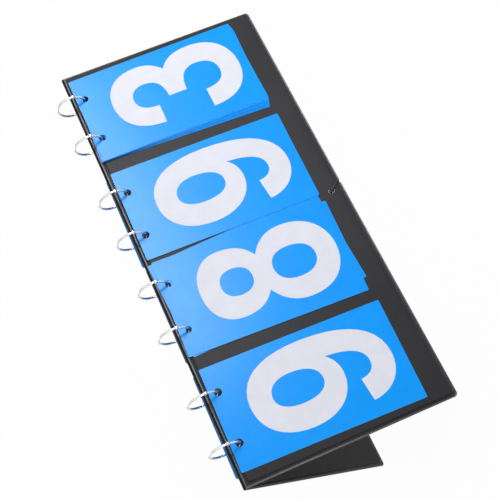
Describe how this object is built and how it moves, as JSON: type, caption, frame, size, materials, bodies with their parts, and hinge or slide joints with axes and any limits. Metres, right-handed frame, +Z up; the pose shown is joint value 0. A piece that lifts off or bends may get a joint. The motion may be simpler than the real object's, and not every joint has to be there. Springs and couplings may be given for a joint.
{
  "type": "flip scoreboard",
  "caption": "Tabletop flip scoreboard: two padded vinyl covers stand as a tent and carry stacks of number cards on book rings, turned over the spine one by one",
  "frame": {"origin": "centre of the footprint on the table, under the spine", "axes": "+X along the spine to the reader's right, the front cover faces -Y, +Z up; the tent stands open at 43.5 degrees"},
  "size_m": [0.385, 0.133, 0.1747],
  "materials": {
    "outer_vinyl": "fine-grained black vinyl with a soft sheen",
    "inner_vinyl": "fine-grained black vinyl",
    "spine_vinyl": "bent black vinyl",
    "greyboard": "plain grey bookbinding board",
    "nickel": "nickel-plated",
    "ring_steel": "nickel-plated wire",
    "rivet_steel": "plain steel",
    "card_front": "smooth printed polypropylene",
    "card_back": "smooth printed polypropylene",
    "cord": "braided elastic cord"
  },
  "bodies": {
    "front_cover": {"front_outer_sheet": "outer_vinyl", "front_inner_sheet": "inner_vinyl", "front_board": "greyboard", "front_eyelet": "nickel", "spine_hinge": "spine_vinyl", "tether_cord": "cord", "ring_1_shank": "ring_steel", "ring_2_shank": "ring_steel", "ring_3_shank": "ring_steel", "ring_4_shank": "ring_steel", "ring_5_shank": "ring_steel", "ring_6_shank": "ring_steel", "ring_7_shank": "ring_steel", "ring_8_shank": "ring_steel", "ring_rivets": "rivet_steel", "right_units_waiting_cards": "card_front", "left_units_waiting_card": "card_front"},
    "back_cover": {"back_outer_sheet": "outer_vinyl", "back_inner_sheet": "inner_vinyl", "back_board": "greyboard", "back_eyelet": "nickel", "right_units_turned_pack": "card_back", "right_tens_turned_pack": "card_back", "left_units_turned_pack": "card_back", "left_tens_turned_pack": "card_back"},
    "right_units_top": {"right_units_top_card": "card_front"},
    "right_units_turned": {"right_units_turned_card": "card_back"},
    "right_tens_top": {"right_tens_top_card": "card_front"},
    "right_tens_turned": {"right_tens_turned_card": "card_back"},
    "left_units_top": {"left_units_top_card": "card_front"},
    "left_units_turned": {"left_units_turned_card": "card_back"},
    "left_tens_top": {"left_tens_top_card": "card_front"},
    "left_tens_turned": {"left_tens_turned_card": "card_back"},
    "ring_1_gate": {"ring_1_gate": "ring_steel"},
    "ring_2_gate": {"ring_2_gate": "ring_steel"},
    "ring_3_gate": {"ring_3_gate": "ring_steel"},
    "ring_4_gate": {"ring_4_gate": "ring_steel"},
    "ring_5_gate": {"ring_5_gate": "ring_steel"},
    "ring_6_gate": {"ring_6_gate": "ring_steel"},
    "ring_7_gate": {"ring_7_gate": "ring_steel"},
    "ring_8_gate": {"ring_8_gate": "ring_steel"}
  },
  "joints": [
    {"name": "cover_fold", "type": "hinge", "parent": "front_cover", "child": "back_cover", "pos_m": [0, 0, 0.15851], "axis": [1, 0, 0], "range_deg": [-42.5, 0], "deforming": ["spine_hinge", "tether_cord"]},
    {"name": "right_units_flip", "type": "hinge", "parent": "front_cover", "child": "right_units_top", "pos_m": [0.1425, 0, 0.16119], "axis": [-1, 0, 0], "range_deg": [0, 242]},
    {"name": "right_units_return", "type": "hinge", "parent": "back_cover", "child": "right_units_turned", "pos_m": [0.1425, 0, 0.16119], "axis": [1, 0, 0], "range_deg": [0, 242]},
    {"name": "right_tens_flip", "type": "hinge", "parent": "front_cover", "child": "right_tens_top", "pos_m": [0.0455, 0, 0.16119], "axis": [-1, 0, 0], "range_deg": [0, 236]},
    {"name": "right_tens_return", "type": "hinge", "parent": "back_cover", "child": "right_tens_turned", "pos_m": [0.0455, 0, 0.16119], "axis": [1, 0, 0], "range_deg": [0, 236]},
    {"name": "left_units_flip", "type": "hinge", "parent": "front_cover", "child": "left_units_top", "pos_m": [-0.0425, 0, 0.16119], "axis": [-1, 0, 0], "range_deg": [0, 243]},
    {"name": "left_units_return", "type": "hinge", "parent": "back_cover", "child": "left_units_turned", "pos_m": [-0.0425, 0, 0.16119], "axis": [1, 0, 0], "range_deg": [0, 243]},
    {"name": "left_tens_flip", "type": "hinge", "parent": "front_cover", "child": "left_tens_top", "pos_m": [-0.1395, 0, 0.16119], "axis": [-1, 0, 0], "range_deg": [0, 238]},
    {"name": "left_tens_return", "type": "hinge", "parent": "back_cover", "child": "left_tens_turned", "pos_m": [-0.1395, 0, 0.16119], "axis": [1, 0, 0], "range_deg": [0, 238]},
    {"name": "ring_1_open", "type": "hinge", "parent": "front_cover", "child": "ring_1_gate", "pos_m": [0.16377, -0.01231, 0.16336], "axis": [0.9994, 0, -0.0349], "range_deg": [0, 60]},
    {"name": "ring_2_open", "type": "hinge", "parent": "front_cover", "child": "ring_2_gate", "pos_m": [0.12217, -0.01231, 0.16336], "axis": [0.9994, 0, -0.0349], "range_deg": [0, 60]},
    {"name": "ring_3_open", "type": "hinge", "parent": "front_cover", "child": "ring_3_gate", "pos_m": [0.06583, -0.01231, 0.16336], "axis": [0.9994, 0, 0.0349], "range_deg": [0, 60]},
    {"name": "ring_4_open", "type": "hinge", "parent": "front_cover", "child": "ring_4_gate", "pos_m": [0.02517, -0.01231, 0.16336], "axis": [0.9994, 0, -0.0349], "range_deg": [0, 60]},
    {"name": "ring_5_open", "type": "hinge", "parent": "front_cover", "child": "ring_5_gate", "pos_m": [-0.02123, -0.01231, 0.16336], "axis": [0.9994, 0, -0.0349], "range_deg": [0, 60]},
    {"name": "ring_6_open", "type": "hinge", "parent": "front_cover", "child": "ring_6_gate", "pos_m": [-0.06283, -0.01231, 0.16336], "axis": [0.9994, 0, -0.0349], "range_deg": [0, 60]},
    {"name": "ring_7_open", "type": "hinge", "parent": "front_cover", "child": "ring_7_gate", "pos_m": [-0.11917, -0.01231, 0.16336], "axis": [0.9994, 0, 0.0349], "range_deg": [0, 60]},
    {"name": "ring_8_open", "type": "hinge", "parent": "front_cover", "child": "ring_8_gate", "pos_m": [-0.1603, -0.01231, 0.16336], "axis": [1, 0, 0], "range_deg": [0, 60]}
  ]
}
